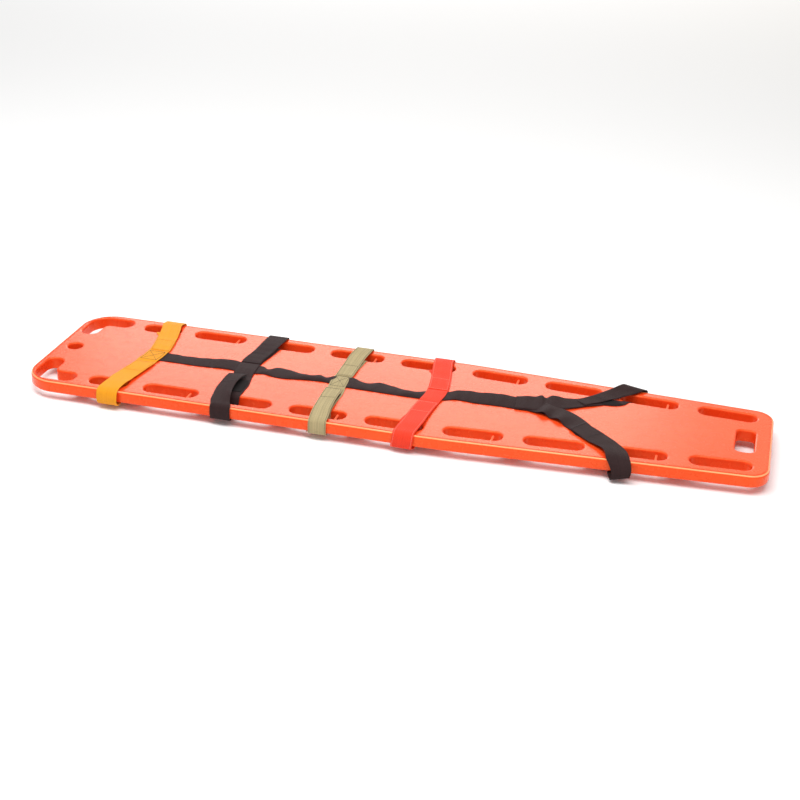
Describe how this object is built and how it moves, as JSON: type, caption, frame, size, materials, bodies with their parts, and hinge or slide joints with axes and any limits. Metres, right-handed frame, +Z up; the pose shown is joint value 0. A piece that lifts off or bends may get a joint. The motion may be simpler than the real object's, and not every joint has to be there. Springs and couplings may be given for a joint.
{
  "type": "spine board",
  "caption": "Moulded long spine board with grip slots, speed clip pins and a colour coded hook-and-loop strap harness.",
  "frame": {"origin": "middle of the board on the surface its runners rest on", "axes": "+Z up through the deck, +X along the board towards the narrow end with the single grip, +Y towards the far rail"},
  "size_m": [1.84, 0.452, 0.0564],
  "materials": {
    "board": "matte",
    "foam": "matte",
    "pin": "satin",
    "webbing_black": "matte",
    "webbing_yellow": "matte",
    "webbing_khaki": "matte",
    "webbing_red": "matte",
    "tape": "matte",
    "stitching": "matte"
  },
  "bodies": {
    "root": {"board_shell": "board", "foam_core": "foam", "clip_pin_near_1": "pin", "clip_pin_near_2": "pin", "clip_pin_near_3": "pin", "clip_pin_near_4": "pin", "clip_pin_far_1": "pin", "clip_pin_far_2": "pin", "clip_pin_far_3": "pin", "clip_pin_far_4": "pin", "spine_strap": "webbing_black", "yellow_cross_strap": "webbing_yellow", "yellow_near_loop_tape": "tape", "yellow_far_loop_tape": "tape", "black_cross_strap": "webbing_black", "black_near_loop_tape": "tape", "black_far_loop_tape": "tape", "khaki_cross_strap": "webbing_khaki", "khaki_near_loop_tape": "tape", "khaki_far_loop_tape": "tape", "red_cross_strap": "webbing_red", "red_near_loop_tape": "tape", "red_far_loop_tape": "tape", "shoulder_strap": "webbing_black", "shoulder_near_loop_tape": "tape", "shoulder_far_loop_tape": "tape"},
    "yellow_near_loop": {"yellow_near_rail_loop": "webbing_yellow"},
    "yellow_near_end": {"yellow_near_tail": "webbing_yellow", "yellow_near_hook_tape": "tape"},
    "yellow_far_loop": {"yellow_far_rail_loop": "webbing_yellow"},
    "yellow_far_end": {"yellow_far_tail": "webbing_yellow", "yellow_far_hook_tape": "tape"},
    "black_near_loop": {"black_near_rail_loop": "webbing_black"},
    "black_near_end": {"black_near_tail": "webbing_black", "black_near_hook_tape": "tape"},
    "black_far_loop": {"black_far_rail_loop": "webbing_black"},
    "black_far_end": {"black_far_tail": "webbing_black", "black_far_hook_tape": "tape"},
    "khaki_near_loop": {"khaki_near_rail_loop": "webbing_khaki"},
    "khaki_near_end": {"khaki_near_tail": "webbing_khaki", "khaki_near_hook_tape": "tape"},
    "khaki_far_loop": {"khaki_far_rail_loop": "webbing_khaki"},
    "khaki_far_end": {"khaki_far_tail": "webbing_khaki", "khaki_far_hook_tape": "tape"},
    "red_near_loop": {"red_near_rail_loop": "webbing_red"},
    "red_near_end": {"red_near_tail": "webbing_red", "red_near_hook_tape": "tape"},
    "red_far_loop": {"red_far_rail_loop": "webbing_red"},
    "red_far_end": {"red_far_tail": "webbing_red", "red_far_hook_tape": "tape"},
    "shoulder_near_loop": {"shoulder_near_rail_loop": "webbing_black"},
    "shoulder_near_end": {"shoulder_near_tail": "webbing_black", "shoulder_near_hook_tape": "tape"},
    "shoulder_far_loop": {"shoulder_far_rail_loop": "webbing_black"},
    "shoulder_far_end": {"shoulder_far_tail": "webbing_black", "shoulder_far_hook_tape": "tape"}
  },
  "joints": [
    {"name": "yellow_near_slide", "type": "slide", "parent": "root", "child": "yellow_near_loop", "axis": [1, 0, 0], "range_m": [-0.02, 0]},
    {"name": "yellow_near_peel", "type": "hinge", "parent": "yellow_near_loop", "child": "yellow_near_end", "pos_m": [-0.678, -0.212, 0.0554], "axis": [1, 0, 0], "range_deg": [0, 120]},
    {"name": "yellow_far_slide", "type": "slide", "parent": "root", "child": "yellow_far_loop", "axis": [1, 0, 0], "range_m": [-0.02, 0]},
    {"name": "yellow_far_peel", "type": "hinge", "parent": "yellow_far_loop", "child": "yellow_far_end", "pos_m": [-0.678, 0.212, 0.0554], "axis": [-1, 0, 0], "range_deg": [0, 120]},
    {"name": "black_near_slide", "type": "slide", "parent": "root", "child": "black_near_loop", "axis": [1, 0, 0], "range_m": [0, 0.02]},
    {"name": "black_near_peel", "type": "hinge", "parent": "black_near_loop", "child": "black_near_end", "pos_m": [-0.38, -0.212, 0.0554], "axis": [1, 0, 0], "range_deg": [0, 120]},
    {"name": "black_far_slide", "type": "slide", "parent": "root", "child": "black_far_loop", "axis": [1, 0, 0], "range_m": [0, 0.02]},
    {"name": "black_far_peel", "type": "hinge", "parent": "black_far_loop", "child": "black_far_end", "pos_m": [-0.38, 0.212, 0.0554], "axis": [-1, 0, 0], "range_deg": [0, 120]},
    {"name": "khaki_near_slide", "type": "slide", "parent": "root", "child": "khaki_near_loop", "axis": [1, 0, 0], "range_m": [-0.02, 0.003]},
    {"name": "khaki_near_peel", "type": "hinge", "parent": "khaki_near_loop", "child": "khaki_near_end", "pos_m": [-0.137, -0.212, 0.0554], "axis": [1, 0, 0], "range_deg": [0, 120]},
    {"name": "khaki_far_slide", "type": "slide", "parent": "root", "child": "khaki_far_loop", "axis": [1, 0, 0], "range_m": [-0.02, 0.01]},
    {"name": "khaki_far_peel", "type": "hinge", "parent": "khaki_far_loop", "child": "khaki_far_end", "pos_m": [-0.146, 0.212, 0.0554], "axis": [-1, 0, 0], "range_deg": [0, 120]},
    {"name": "red_near_slide", "type": "slide", "parent": "root", "child": "red_near_loop", "axis": [1, 0, 0], "range_m": [-0.02, 0]},
    {"name": "red_near_peel", "type": "hinge", "parent": "red_near_loop", "child": "red_near_end", "pos_m": [0.08, -0.212, 0.0554], "axis": [1, 0, 0], "range_deg": [0, 120]},
    {"name": "red_far_slide", "type": "slide", "parent": "root", "child": "red_far_loop", "axis": [1, 0, 0], "range_m": [-0.02, 0]},
    {"name": "red_far_peel", "type": "hinge", "parent": "red_far_loop", "child": "red_far_end", "pos_m": [0.08, 0.212, 0.0554], "axis": [-1, 0, 0], "range_deg": [0, 120]},
    {"name": "shoulder_near_slide", "type": "slide", "parent": "root", "child": "shoulder_near_loop", "axis": [1, 0, 0], "range_m": [0, 0.02]},
    {"name": "shoulder_near_peel", "type": "hinge", "parent": "shoulder_near_loop", "child": "shoulder_near_end", "pos_m": [0.577, -0.18677, 0.0554], "axis": [1, 0, 0], "range_deg": [0, 120]},
    {"name": "shoulder_far_slide", "type": "slide", "parent": "root", "child": "shoulder_far_loop", "axis": [1, 0, 0], "range_m": [0, 0.02]},
    {"name": "shoulder_far_peel", "type": "hinge", "parent": "shoulder_far_loop", "child": "shoulder_far_end", "pos_m": [0.577, 0.18677, 0.0554], "axis": [-1, 0, 0], "range_deg": [0, 120]}
  ]
}
